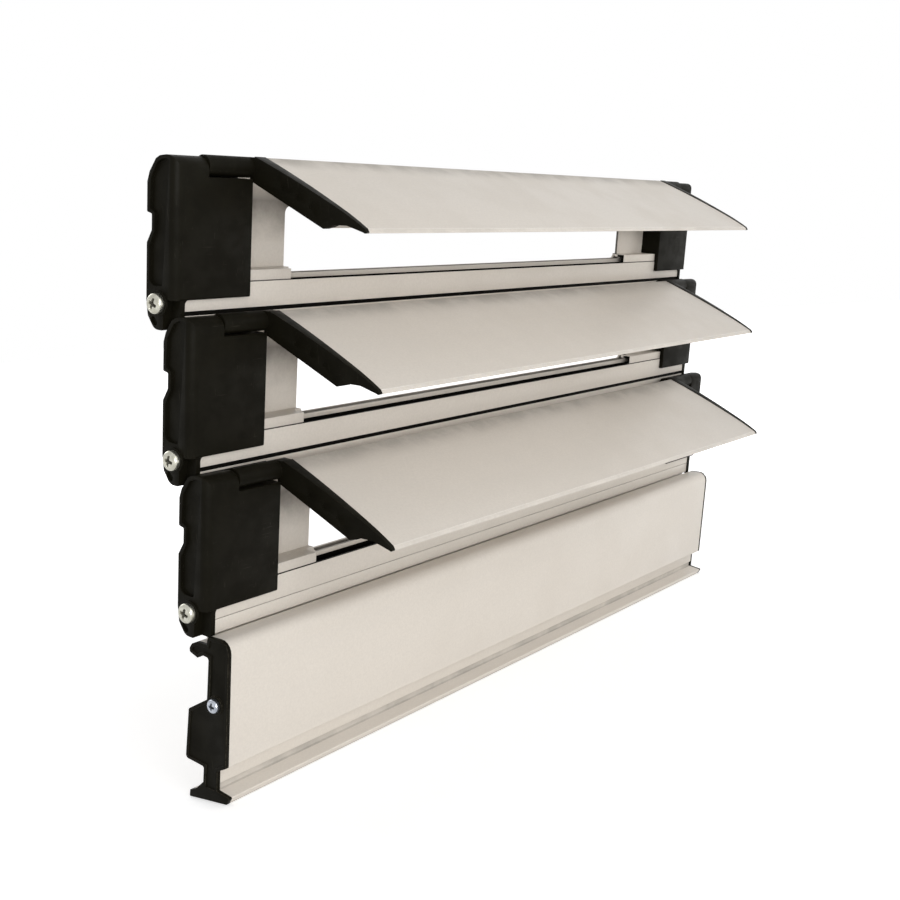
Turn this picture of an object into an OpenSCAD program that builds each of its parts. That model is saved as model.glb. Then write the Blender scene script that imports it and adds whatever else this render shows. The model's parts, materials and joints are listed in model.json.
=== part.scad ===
// Brise soleil: three framed units hinged one under another, each with a tilting blade,
// and a closing slat with a flat foot below them.
// x runs along the slats, y to the back, z up. The origin is the top hinge axis, at mid length.
// Each unit is drawn in its own leaning frame: u is the depth to the back and w the height,
// both from the axis of its bottom hinge.

/* [Stack] */
// Distance from one hinge axis to the next, down the plumb line
pitch = 60; // [57:0.5:66]
// How far a unit's top hinge lies behind its bottom hinge
hinge_back = 10; // [9:0.25:11]
// Length of the aluminium profiles
profile_len = 415; // [320:5:1200]

/* [Hinge] */
// Radius of the knuckle that runs along the top of a profile
knuckle_r = 2.2; // [2:0.05:2.4]
// Running clearance between a knuckle and its socket, on the radius
hinge_fit = 0.08; // [0.04:0.01:0.1]
// Thickness of the wall round a socket
socket_wall = 1.2; // [1:0.05:1.3]
// Thickness of the neck that carries a knuckle
neck_t = 1.4; // [1.1:0.1:1.5]
// Direction of the neck below its knuckle
neck_turn = -100; // [-103:1:-97]
// Angle that a lower unit can swing to the back
swing = 40; // [25:1:40]
// Spare angle on each side of the neck in the socket's mouth
mouth_spare = 2.5; // [1.5:0.5:4]

/* [Carrier profile] */
// Wall of the carrier profile
wall = 1.3; // [1:0.1:1.6]
// How far the rail's face stands in front of the bottom hinge axis
face_out = 3.7; // [3.6:0.05:4]
// How far the rail's face reaches below the bottom hinge axis
lip_drop = 1.8; // [1.4:0.1:2]
// Height of the rail's top face over the bottom hinge axis
rail_h = 14.5; // [13.5:0.1:15]
// Height of the rail's floor over the bottom hinge axis
rail_low = 2.3; // [2.3:0.1:2.6]
// Height of the foot that stands on the rail
foot_h = 4.6; // [4.2:0.1:5]
// Step back from the rail's face to the foot's face
foot_set = 0.4; // [0.2:0.05:0.8]
// How far the web's face stands in front of the top hinge axis
web_ahead = 4.1; // [3.8:0.1:4.3]
// Depth of the rail behind the web
rail_tail = 1.4; // [1:0.1:1.6]
// Depth of the two drip grooves
groove_d = 0.4; // [0.2:0.05:0.6]
// Width of the two drip grooves
groove_w = 0.4; // [0.2:0.05:0.6]
// Height of the drip groove on the rail's face
drip_h = 4.05; // [3.5:0.05:6]

/* [Window] */
// Distance from the profile's end to the window
window_in = 64; // [45:1:90]
// Distance from the profile's left end to the slot milled along the foot
slot_left = 59; // [45:0.5:80]
// Distance from the profile's right end to that slot
slot_right = 71.5; // [45:0.5:90]
// How far the slot reaches behind the bottom hinge axis
slot_back = 3; // [2.6:0.1:3.4]
// Radius that the cutter leaves at the slot's ends
mill_r = 2; // [1:0.25:2.5]
// Distance from the window's top to the top hinge axis
window_under = 15.2; // [14.5:0.1:20]
// Height of the bar that stays behind the slot
bar_h = 2; // [1.4:0.1:3.4]
// Radius of the window's corners
window_r = 3; // [1:0.5:5]

/* [Side link] */
// Thickness of the link's side wall
link_t = 6.5; // [5.5:0.1:8]
// How far the link's plate stands in front of the bottom hinge axis
plate_out = 6; // [5.6:0.1:6.4]
// Length of the link's plate along the slat
plate_len = 39.4; // [36:0.2:48]
// Height of the plate's lower edge
plate_low = 8.8; // [8:0.1:9.5]
// Height of the link's top over the top hinge axis
plate_over = 4; // [3.6:0.1:4.2]
// Radius of the long outer corner
edge_r = 3.5; // [2:0.25:4.5]
// Radius of the link's front top edge
brow_r = 5; // [2:0.25:5.5]
// How far the link's back stands behind the rail's back
link_tail = 1.3; // [0.8:0.1:1.6]
// Thickness of the link's inner walls
rib = 2; // [1.4:0.1:2.4]
// Thickness of the tongue that closes the rail's end
tongue_t = 2.2; // [1.6:0.1:2.6]
// How far that tongue stands in front of the rail's face
tongue_out = 0.8; // [0.4:0.1:1]
// Radius of the fillet between the tongue and the plate
fillet_r = 2; // [1:0.25:3]
// Clearance round a tongue inside the pocket of the link below
tongue_gap = 0.4; // [0.3:0.05:0.5]
// Height of the finger notch's lower edge over the bottom hinge axis
notch_h = 34; // [30:0.5:36]
// Length of the clamp rib behind the web
clamp_len = 8.5; // [5:0.5:14]
// Width of the finger notch in the link's back
notch_w = 7; // [5:0.5:9]
// Depth of the pocket in the link's outer face
pocket_d = 1.5; // [0.8:0.1:2]
// Width of the rim round that pocket
rim = 1.4; // [1:0.1:2]

/* [Blade] */
// How far the blade's pivot stands in front of the top hinge axis
pivot_ahead = 12; // [11.8:0.1:12.4]
// Radius of the stub on each blade cap
stub_r = 4; // [3.6:0.1:4]
// Length of that stub
stub_len = 23.4; // [18:0.2:26]
// Clearance round the stub in the link's recess
stub_gap = 0.4; // [0.3:0.05:0.6]
// Radius of the pivot pins
pin_r = 1.5; // [1:0.1:2]
// Running clearance between a pin and the stub, on the radius
pin_fit = 0.05; // [0.02:0.01:0.1]
// How deep a pin reaches into the stub
pin_in = 14; // [8:0.5:16]
// How deep a pin is set in the link
pin_set = 7; // [5:0.5:9]
// Width of the blade from its back edge to its nose
chord = 63.5; // [61:0.5:66]
// Slope of the open blade below its unit's level
droop = 22.3; // [15:0.1:25]
// Height of the blade's crown over a straight line
crown = 0.8; // [0.3:0.1:2]
// Depth of the blade's hollow part
depth = 9.2; // [8.4:0.1:9.6]
// Width of the blade's hollow part
box_w = 43; // [38:0.5:46]
// Thickness of the blade's front lip
lip_t = 2.7; // [2:0.1:3]
// Wall of the blade profile
blade_wall = 1.2; // [0.9:0.1:1.5]
// Thickness of a blade cap's arm at the blade's back edge
cap_t = 5.8; // [4:0.1:6.5]
// Thickness of that arm at the blade's nose
cap_nose_t = 1.9; // [1.4:0.1:3]
// Gap between a blade cap and the link beside it
side_gap = 0.6; // [0.4:0.1:1]
// How far a cap's spigot reaches into the blade
spigot = 8; // [4:0.5:12]
// How far a cap stands proud of the blade
cap_proud = 0.3; // [0.1:0.05:0.4]

/* [Closing slat] */
// How far the panel's face stands in front of the hinge axis
panel_out = 16.8; // [16.4:0.1:17.4]
// Distance from the hinge axis down to the panel's lower edge
panel_drop = 53.3; // [50:0.1:54]
// How far the closing slat reaches past the carriers at each end
closing_more = 2.8; // [1:0.1:4]
// Radius of the panel's shoulder
shoulder_r = 5; // [3:0.25:6]
// Distance from the hinge axis down to the arm under the knuckle
arm_drop = 4.9; // [4.7:0.1:5.4]
// How far the column's back stands in front of the hinge axis
waist = 5.7; // [5.2:0.1:6.4]
// How far the hollow heel reaches behind the hinge axis
heel_back = 5.6; // [4:0.1:6.4]
// Distance from the hinge axis down to the heel's top edge
heel_top = 34.3; // [32:0.1:38]
// Distance from the hinge axis down to the heel's lower edge
heel_low = 55.8; // [55:0.1:57]
// How far the stem's face stands in front of the hinge axis
stem_out = 12.2; // [11.6:0.1:12.8]
// Depth of the stem
stem_t = 8; // [7:0.1:9]
// Height of the cove along the stem's face
cove_h = 3; // [2:0.1:4]
// Depth of that cove
cove_d = 1; // [0.5:0.1:1.5]
// Wall of the closing profile
slat_wall = 1.4; // [1:0.1:1.6]
// Distance from the hinge axis down to the foot's sole, on the plumb line
sole_drop = 70.3; // [70:0.1:74]
// Thickness of the foot
sole_t = 2.8; // [2:0.1:3]
// Thickness of a closing cap
end_t = 1.8; // [1.4:0.1:2.4]
// Depth of the panel sunk in a closing cap
sunk = 0.6; // [0.3:0.1:0.8]

/* [Screws] */
// Radius of a link screw's head
head_r = 4; // [3.4:0.1:4.2]
// Radius of a link screw's shank
shank_r = 2; // [1.6:0.1:2.1]
// Length of a link screw's shank
shank_len = 26; // [16:1:40]
// Radius of a small screw's head
small_head_r = 2.9; // [2.4:0.1:3.2]
// Radius of a small screw's shank
small_shank_r = 1.3; // [1:0.1:1.5]
// Length of a small screw's shank
small_shank_len = 16; // [10:1:30]
// Wall round a screw in its port
port_wall = 1.4; // [1:0.1:1.5]

/* [Hidden] */

$fn = 48;
arc_steps = 5;
past = 1;
left = -1;
right = 1;
powder_grey = "#d6cec4";
link_black = "#23231f";
zinc = "#b9bab4";

rise = sqrt(pitch * pitch - hinge_back * hinge_back);
lean = asin(hinge_back / pitch);
half = profile_len / 2;
socket_r = knuckle_r + hinge_fit;
ledge = rail_h + foot_h;
web_front = hinge_back - web_ahead;
web_back = web_front + wall;
rail_back = web_back + rail_tail;
link_back = rail_back + link_tail;
link_end = half + link_t;
plate_in = link_end - plate_len;
recess_out = plate_in + stub_len - side_gap + stub_gap;
cap_out = plate_in - side_gap;
arm_in = cap_out - cap_t;
closing_half = half + closing_more;
pivot = [hinge_back - pivot_ahead, rise];
blade_back = pivot + [0.1 - stub_r, stub_r];
recess_low = pivot[1] - stub_r - stub_gap;
recess_back = pivot[0] + stub_r + stub_gap;
port = [2.96, 7.1];
small_port = [-9.9, -28.7];
foot_face = foot_set - face_out;
lug_front = 0.4;
lug_low = -3;
tongue_low = lug_low + 0.3;
tongue_face = -face_out - tongue_out;
chamfer_off = 3.3;
stem_drop = sole_drop - 4.3;
cove_low = -stem_drop + 1.6;

// Vector helpers
function unit(v) = v / norm(v);
function flat(p) = [p[0], p[1]];
function polar(r, a) = [r * cos(a), r * sin(a)];

// Points of a corner b rounded to radius r between its neighbours a and c
function bend(a, b, c, r) = r == 0 ? [b] : let(
    p = unit(a - b),
    q = unit(c - b),
    open = acos(p * q) / 2,
    mid = b + unit(p + q) * r / sin(open),
    from = b + p * r / tan(open) - mid,
    to = b + q * r / tan(open) - mid,
    start = atan2(from[1], from[0]),
    span = atan2(from[0] * to[1] - from[1] * to[0], from * to))
    [for (i = [0:arc_steps]) mid + polar(r, start + span * i / arc_steps)];

// Outline whose points are [u, w, corner radius]
function soften(pts) = let(n = len(pts)) [for (i = [0:n - 1])
    each bend(flat(pts[(i + n - 1) % n]), flat(pts[i]), flat(pts[(i + 1) % n]), pts[i][2])];

// A clockwise outline drawn in by d on every side
function inset(pts, d) = let(n = len(pts)) [for (i = [0:n - 1]) let(
    p = unit(flat(pts[i]) - flat(pts[(i + n - 1) % n])),
    q = unit(flat(pts[(i + 1) % n]) - flat(pts[i])),
    a = [p[1], -p[0]],
    b = [q[1], -q[0]])
    flat(pts[i]) + (a + b) * d / (1 + a * b)];

// Stands one of the units, counted from 0 at the top, in its place on the plumb line
module place(n) {
    translate([0, 0, -(n + 1) * pitch]) rotate([lean, 0, 0]) children();
}

// Stands the closing slat under the lowest unit, with its hinge axis at the origin of its drawing
module closing_place() {
    translate([0, 0, -3 * pitch]) rotate([lean, 0, 0]) children();
}

// Draws a u and w outline out along x, from x0 to x1
module slab(x0, x1) {
    translate([x0, 0, 0]) rotate([90, 0, 90]) linear_extrude(x1 - x0) children();
}

// A rounded slot in x and w, cut from depth u0 to u1
module punched(u0, u1, half_w, low, high, r) {
    translate([0, u1, 0]) rotate([90, 0, 0]) linear_extrude(u1 - u0)
        polygon(soften([[-half_w, low, r], [-half_w, high, r], [half_w, high, r], [half_w, low, r]]));
}

// Turns a right hand piece into the left hand one
module handed(side) {
    mirror([side < 0 ? 1 : 0, 0, 0]) children();
}

// The knuckle on a hinge axis, along the carriers' whole length
module knuckle(top) {
    slab(-half, half) translate(top) circle(r = knuckle_r);
}

// Wedge that opens the socket, wide enough for the neck over the whole swing
module socket_mouth() {
    spare = asin(neck_t / 2 / knuckle_r) + mouth_spare;
    reach = socket_r + socket_wall + past;
    from = neck_turn - spare;
    to = neck_turn + swing + spare;
    polygon(concat([[0, 0]], [for (i = [0:4]) polar(reach, from + (to - from) * i / 4)]));
}

// Outside of the rail with its lip and foot, clockwise from the lip
function rail_outline() = [
    [-face_out, -lip_drop], [-face_out, rail_h], [foot_face, rail_h], [foot_face, ledge],
    [rail_back, ledge], [rail_back, rail_low], [wall - face_out, rail_low], [wall - face_out, -lip_drop]];

// The upright web and the neck above it, which leans to the top hinge
function web_outline() = let(
    top = [hinge_back, rise],
    slope_low = rise - 13,
    foot = top + polar(6, neck_turn),
    side = [neck_t / 2, 0])
    [[web_front, ledge - wall / 2], [web_front, slope_low], foot - side, top - side,
    top + side, foot + side, [web_back, slope_low - 0.3], [web_back, ledge - wall / 2]];

// The extrusion with its two hollows, its screw port and its drip grooves
module carrier_profile() {
    low = rail_low + wall / 2;
    difference() {
        union() {
            difference() {
                union() {
                    slab(-half, half) polygon(rail_outline());
                    slab(-half, half) circle(r = socket_r + socket_wall);
                    slab(-half, half) polygon(web_outline());
                    knuckle([hinge_back, rise]);
                }
                slab(-half - past, half + past) translate([wall - face_out, rail_low + wall])
                    square([rail_back + face_out - 2 * wall, rail_h - rail_low - 2 * wall]);
                slab(-half - past, half + past) translate([foot_face + wall, rail_h])
                    square([rail_back - foot_face - 2 * wall, foot_h - wall]);
            }
            slab(-half, half) translate(port) circle(r = shank_r + port_wall);
            slab(-half, half) translate([port[0], port[1] - wall / 2])
                square([rail_back - port[0] - wall / 2, wall]);
            slab(-half, half) translate([port[0] - wall / 2, low]) square([wall, port[1] - low]);
            slab(-half, half) translate([slot_back, port[1]]) square([wall, ledge - port[1] - wall / 2]);
        }
        slab(-half - past, half + past) circle(r = socket_r);
        slab(-half - past, half + past) socket_mouth();
        slab(-half - past, half + past) translate(port) circle(r = shank_r);
        slab(-half - past, half + past) translate([-face_out - past, drip_h - groove_w / 2])
            square([groove_d + past, groove_w]);
        slab(-half - past, half + past) translate([-face_out - past, rail_h])
            square([foot_set + groove_d + past, groove_w]);
    }
}

// Room that a cutter leaves along the foot, from depth u0 back to the slot's back
module milled(u0, low, high, front_r) {
    from = slot_left - half;
    to = half - slot_right;
    translate([0, 0, low]) linear_extrude(high - low) polygon(soften([
        [from, u0, front_r], [from, slot_back, mill_r], [to, slot_back, mill_r], [to, u0, front_r]]));
}

// One carrier, with its window punched and its foot milled
module carrier(n) {
    color(powder_grey) place(n) difference() {
        carrier_profile();
        punched(slot_back - wall / 2, rail_back + past, half - window_in,
            rail_h + bar_h, rise - window_under, window_r);
        milled(-face_out - past, rail_h, ledge + past, 0);
        milled(wall - face_out, rail_h - wall - past, rail_h + past, mill_r);
    }
}

// Side view of the link, clockwise from its front top corner
function link_outline() = [
    [-plate_out, rise + plate_over, brow_r],
    [hinge_back - 6.9, rise + 2.8, 2],
    [hinge_back - 4.7, rise + 1.6, 1],
    [hinge_back - 1.3, rise - chamfer_off, 2],
    [link_back, rise - 7, 1.5],
    [link_back, notch_h + notch_w, 0.6],
    [web_back, notch_h + notch_w - 0.6, 0.6],
    [web_back, notch_h + 0.3, 1],
    [link_back, notch_h - 0.3 - notch_w * 0.6, 1],
    [link_back, 8, 3],
    [link_back - 0.9, 2, 2],
    [5.3, lug_low, 4],
    [lug_front, lug_low, 0.8],
    [lug_front, plate_low, 1],
    [-plate_out, plate_low, 0.8]];

// The pocket in the outer face, whose front edge leans back towards its foot
function pocket_outline() = let(back = link_back - rim, front = edge_r - plate_out + 0.3) [
    [front + 3.2, port[1] + 6.5, 1],
    [front, rise + plate_over - rim - 0.8, 1.2],
    [hinge_back - 8.4, rise + plate_over - rim - 0.9, 1.2],
    [hinge_back - 5.6, rise + 0.4, 1],
    [back - 0.6, rise - 5.5, 2],
    [back, notch_h + notch_w + rim, 1],
    [web_back - rim, notch_h + notch_w, 1],
    [web_back - rim, notch_h, 1],
    [back, notch_h - notch_w * 0.6 - rim, 1],
    [back, port[1] + 8, 2],
    [back - 2.5, port[1] + 6.5, 1]];

// All that is moulded on a link, before its recesses are cut
module link_body() {
    // side wall
    slab(half, link_end) polygon(soften(link_outline()));
    // front plate, and the block round the stub's recess
    slab(plate_in, half) intersection() {
        polygon(soften(link_outline()));
        union() {
            translate([-plate_out - past, 0]) square([plate_out + past - face_out, pitch + plate_over]);
            translate([-plate_out - past, recess_low - rib])
                square([plate_out + past + recess_back + rib, pitch]);
        }
    }
    // wall that returns to the web beside the window
    slab(plate_in, plate_in + rib) polygon([
        [-face_out - past, ledge], [web_front, ledge], [web_front, rise - 16],
        [recess_back + rib - 0.5, recess_low - rib + 0.5], [-face_out - past, recess_low - rib + 0.5]]);
    // tongue over the rail's end, and the fillet beside it
    slab(half, half + tongue_t) polygon([
        [tongue_face, tongue_low + 0.5], [tongue_face, plate_low + past],
        [lug_front + past, plate_low + past], [lug_front + past, tongue_low],
        [tongue_face + 0.5, tongue_low]]);
    translate([0, -face_out, 0]) rotate([90, 0, 0]) linear_extrude(tongue_out) polygon(concat(
        [[half + past, plate_low + past], [half - fillet_r, plate_low + past]],
        bend([0, plate_low], [half, plate_low], [half, 0], fillet_r),
        [[half + past, plate_low - fillet_r]]));
    // clamp rib behind the web
    slab(half - clamp_len, half) polygon([
        [web_back, ledge + past], [web_back, notch_h - 5],
        [link_back - 0.4, notch_h - 7], [link_back - 0.4, ledge + past]]);
    // collar under the screw's head
    slab(link_end - 0.2, link_end + 0.6) translate(port) circle(r = head_r + 0.9);
}

// Cut that rounds the long outer corner up the link's height
module long_corner() {
    corner = [link_end, -plate_out];
    translate([0, 0, lug_low - past]) linear_extrude(2 * pitch) polygon(concat(
        [corner + [past, -past], corner + [past, edge_r]],
        bend(corner + [0, pitch], corner, corner - [pitch, 0], edge_r),
        [corner - [edge_r, past]]));
}

// One side link, on the left or the right
module link(n, side) {
    color(link_black) place(n) handed(side) difference() {
        link_body();
        // recess for the cap's stub
        slab(plate_in - past, recess_out) translate([-plate_out - past, recess_low])
            square([recess_back + plate_out + past, pitch]);
        // room for the tongue of the link above
        slab(half - past, half + tongue_t + tongue_gap)
            translate([hinge_back, rise]) circle(r = norm([tongue_face, tongue_low + 0.5]) + tongue_gap);
        slab(link_end - pocket_d, link_end + past) polygon(soften(pocket_outline()));
        slab(half - past, link_end + 2 * past) translate(port) circle(r = shank_r);
        slab(recess_out - past, recess_out + pin_set) translate(pivot) circle(r = pin_r);
        long_corner();
        // oval hollow in the tip of the lug
        slab(link_end - 1, link_end + past) polygon(soften([
            [4.6, -2, 0.9], [3.3, -0.2, 0.9], [6, 2.4, 0.9], [7.4, 0.6, 0.9]]));
    }
}

// Pan head with a cross recess, standing out from x at its seat
module pan_screw(r, shank, length) {
    head_h = 0.7 * r;
    wing = [
        [-0.24 * r, 0.25 * head_h], [0.24 * r, 0.25 * head_h],
        [0.62 * r, head_h + past], [-0.62 * r, head_h + past]];
    rotate([0, 90, 0]) difference() {
        union() {
            translate([0, 0, -length]) cylinder(r = shank, h = length);
            rotate_extrude() polygon(soften([
                [0, 0, 0], [0, head_h, 0], [r * 0.7, head_h, r * 0.4],
                [r, head_h * 0.6, r * 0.2], [r, 0, 0]]));
        }
        for (a = [0, 90]) rotate([90, 0, a]) linear_extrude(r * 0.24, center = true) polygon(wing);
    }
}

// The two screws that hold a unit's links to its rail
module link_screws(n) {
    color(zinc) place(n) for (side = [left, right]) handed(side)
        translate([link_end + 0.6, port[0], port[1]]) pan_screw(head_r, shank_r, shank_len);
}

// The two pins that a unit's blade turns on
module pivot_pins(n) {
    from = recess_out + pin_set;
    color(zinc) place(n) for (side = [left, right]) handed(side)
        slab(cap_out + stub_len - pin_in + stub_gap, from) translate(pivot) circle(r = pin_r);
}

// Stands a blade outline, drawn from its back top edge: s to the nose and t down, at the open slope
module on_blade() {
    translate(blade_back) rotate(180 + droop) children();
}

// Height of the crowned top at s, as a t
function top_at(s) = -4 * crown * s / chord * (1 - s / chord);
function top_line(from, to) = [for (i = [0:10]) let(s = from + (to - from) * i / 10) [s, top_at(s), 0]];

// Side view of the blade, with its underside raised by under
function blade_outline(under) = concat(
    top_line(0, chord - 1), [
        [chord, 0.6, 0.3], [chord - 0.8, lip_t - under, 0.5],
        [box_w + 10, lip_t + 0.2 - under, 3], [box_w + 4.5, lip_t + 2.6 - under, 0.4],
        [box_w + 3, depth - 2.3 - under, 0.4], [box_w, depth - under, 1],
        [1, depth - under, 1.5]]);

// The blade's extrusion, with its two hollows
module blade_section() {
    split = box_w * 0.5;
    floor_t = depth - cap_proud - blade_wall;
    on_blade() difference() {
        polygon(soften(blade_outline(cap_proud)));
        polygon(concat(
            [for (p = top_line(1.8, split)) [p[0], p[1] + blade_wall]],
            [[split, floor_t], [2.2, floor_t]]));
        polygon(concat(
            [for (p = top_line(split + blade_wall, box_w + 2)) [p[0], p[1] + blade_wall]],
            [[box_w + 2, depth - 3.4], [box_w - 0.6, floor_t], [split + blade_wall, floor_t]]));
    }
}

// All that lies past the blade's slanted right hand end
module end_wedge() {
    slope = (cap_t - cap_nose_t) / chord;
    reach = 20;
    translate([0, blade_back[0], blade_back[1]]) rotate([180 + droop, 0, 0])
        translate([0, 0, -reach]) linear_extrude(reach + 2 * depth) polygon([
            [arm_in - slope * reach, -reach], [arm_in + slope * (chord + reach), chord + reach],
            [cap_out + past, chord + reach], [cap_out + past, -reach]]);
}

// One blade, cut off on a slant at both ends
module blade(n) {
    color(powder_grey) place(n) difference() {
        slab(-cap_out, cap_out) blade_section();
        for (side = [left, right]) handed(side) end_wedge();
    }
}

// Side view of a cap's arm, a little larger than the blade that it closes
module arm_section() {
    on_blade() polygon(soften([for (p = blade_outline(0)) [p[0], p[1] - (p[1] < 1 ? cap_proud : 0), p[2]]]));
}

// A blade cap: its arm, its stub and the spigot inside the blade
module blade_cap(n, side) {
    slack = 0.15;
    split = box_w * 0.5 - slack;
    start = 2.4 + slack;
    floor_t = depth - cap_proud - blade_wall - slack;
    color(link_black) place(n) handed(side) difference() {
        union() {
            intersection() {
                union() {
                    slab(arm_in - past, cap_out) translate(pivot) circle(r = stub_r);
                    slab(arm_in - past, cap_out) arm_section();
                    slab(arm_in - past, cap_out) polygon([
                        pivot, pivot + [0, stub_r], pivot + [-stub_r, stub_r],
                        pivot + [-2 * stub_r, -stub_r], pivot + polar(stub_r, droop - 90)]);
                }
                end_wedge();
            }
            slab(cap_out - past, cap_out + stub_len) translate(pivot) circle(r = stub_r);
            slab(arm_in - spigot, cap_out - past) on_blade() polygon(concat(
                [for (p = top_line(start, split)) [p[0], p[1] + blade_wall + slack]],
                [[split, floor_t], [start, floor_t]]));
        }
        slab(cap_out + stub_len - pin_in, cap_out + stub_len + past)
            translate(pivot) circle(r = pin_r + pin_fit);
        // marks of the ejector pins
        for (s = [18, 26, 34]) slab(cap_out - 0.3, cap_out + past)
            on_blade() translate([s, depth / 2]) circle(r = 0.9);
    }
}

// Closing slat, drawn from its own hinge axis at the top, clockwise from the panel's lower edge
function slat_outline() = let(stem_back = stem_t - stem_out) [
    [-panel_out, -panel_drop, 0.6],
    [-panel_out, -0.7, shoulder_r],
    [-5.3, -1.4, 1],
    [-4.6, -arm_drop, 0.4],
    [1, -arm_drop - 0.2, 1.5],
    [3.6, -arm_drop - 1.6, 1.5],
    [4.9, -8.6, 1],
    [4.7, -10.2, 0.8],
    [0.3, -11.6, 0.6],
    [-2.6, -9.8, 0.8],
    [-waist - 0.2, -10, 1.2],
    [0.2 - waist, 6.9 - heel_top, 0.8],
    [heel_back - 0.8, -heel_top, 1],
    [heel_back + 0.4, -heel_low, 1.5],
    [stem_back - 0.3, -heel_low - 0.6, 1],
    [stem_back, -stem_drop, 0],
    [-stem_out, -stem_drop, 0],
    [-stem_out, -panel_drop - 2.6, 0.6]];

// The foot, drawn upright: its top slopes up to the stem from both sides
module slat_sole() {
    top = sole_t - sole_drop;
    rotate(-lean) polygon(soften([
        [15.2, -sole_drop, 0.3], [-6.1, -sole_drop, 0.4], [-8.2, top, 0.5],
        [-1.2, top + 1.9, 1], [6.4, top + 4.5, 1], [11.2, top + 0.9, 1], [14.6, top, 0.3]]));
}

// Hollows of the closing profile: the upper chamber, the heel and the stem
function upper_hollow() = let(
    front = slat_wall - panel_out,
    back = -waist - slat_wall,
    top = -slat_wall - 0.8,
    low = 7.3 - heel_top)
    [[front, low, 0.5], [front, top, shoulder_r - slat_wall], [back, top, 0.5], [back, low, 0.5]];
function heel_hollow() = let(front = slat_wall - panel_out, top = 7.3 - heel_top - slat_wall) [
    [front, slat_wall - 0.4 - panel_drop, 0.5], [front, top, 0.5], [0.7 - waist - slat_wall, top, 0.5],
    [heel_back - 0.8 - slat_wall, -heel_top - 0.9, 0.8], [heel_back + 0.3 - slat_wall, 1.2 - heel_low, 0.8],
    [0.7 - stem_out, slat_wall + 1.2 - heel_low, 0.5]];
function stem_hollow() = let(
    front = cove_d + slat_wall - stem_out,
    back = stem_t - stem_out - slat_wall,
    top = -heel_low - 1.2,
    low = 2 - stem_drop)
    [[front, low, 0.5], [front, top, 0.5], [back, top, 0.5], [back, low, 0.5]];

// The closing slat's extrusion
module closing_profile() {
    neck_foot = polar(6, neck_turn);
    side = [neck_t / 2, 0];
    ends = closing_half + past;
    color(powder_grey) closing_place() difference() {
        union() {
            difference() {
                union() {
                    slab(-closing_half, closing_half) polygon(soften(slat_outline()));
                    slab(-closing_half, closing_half) slat_sole();
                    slab(-half, half) polygon([neck_foot - side, -side, side, neck_foot + side]);
                    knuckle([0, 0]);
                }
                slab(-ends, ends) polygon(soften(upper_hollow()));
                slab(-ends, ends) polygon(soften(heel_hollow()));
            }
            slab(-closing_half, closing_half) translate(small_port) circle(r = small_shank_r + port_wall);
        }
        slab(-ends, ends) translate(small_port) circle(r = small_shank_r);
        slab(-ends, ends) polygon(soften(stem_hollow()));
        slab(-ends, ends) translate([-stem_out - past, cove_low]) square([past + cove_d, cove_h]);
    }
}

// The plate that closes the slat's end
module closing_cap(side) {
    edge = slat_outline();
    outer = closing_half + end_t;
    color(link_black) closing_place() handed(side) difference() {
        union() {
            slab(closing_half, outer) polygon(soften(edge));
            slab(closing_half, outer) slat_sole();
        }
        slab(outer - sunk, outer + past) difference() {
            polygon(inset(edge, rim));
            translate(small_port) circle(r = small_head_r + 1);
        }
        slab(closing_half - past, outer + past) translate(small_port) circle(r = small_shank_r);
    }
}

// The two small screws of the closing caps
module closing_screws() {
    color(zinc) closing_place() for (side = [left, right]) handed(side)
        translate([closing_half + end_t, small_port[0], small_port[1]])
            pan_screw(small_head_r, small_shank_r, small_shank_len);
}

carrier(0);  // carrier_top
link(0, left);  // link_left_top
link(0, right);  // link_right_top
link_screws(0);  // link_screws_top
pivot_pins(0);  // pivot_pins_top
blade(0);  // blade_top
blade_cap(0, left);  // blade_cap_left_top
blade_cap(0, right);  // blade_cap_right_top
carrier(1);  // carrier_middle
link(1, left);  // link_left_middle
link(1, right);  // link_right_middle
link_screws(1);  // link_screws_middle
pivot_pins(1);  // pivot_pins_middle
blade(1);  // blade_middle
blade_cap(1, left);  // blade_cap_left_middle
blade_cap(1, right);  // blade_cap_right_middle
carrier(2);  // carrier_bottom
link(2, left);  // link_left_bottom
link(2, right);  // link_right_bottom
link_screws(2);  // link_screws_bottom
pivot_pins(2);  // pivot_pins_bottom
blade(2);  // blade_bottom
blade_cap(2, left);  // blade_cap_left_bottom
blade_cap(2, right);  // blade_cap_right_bottom
closing_profile();
closing_cap(left);  // closing_cap_left
closing_cap(right);  // closing_cap_right
closing_screws();
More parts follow.
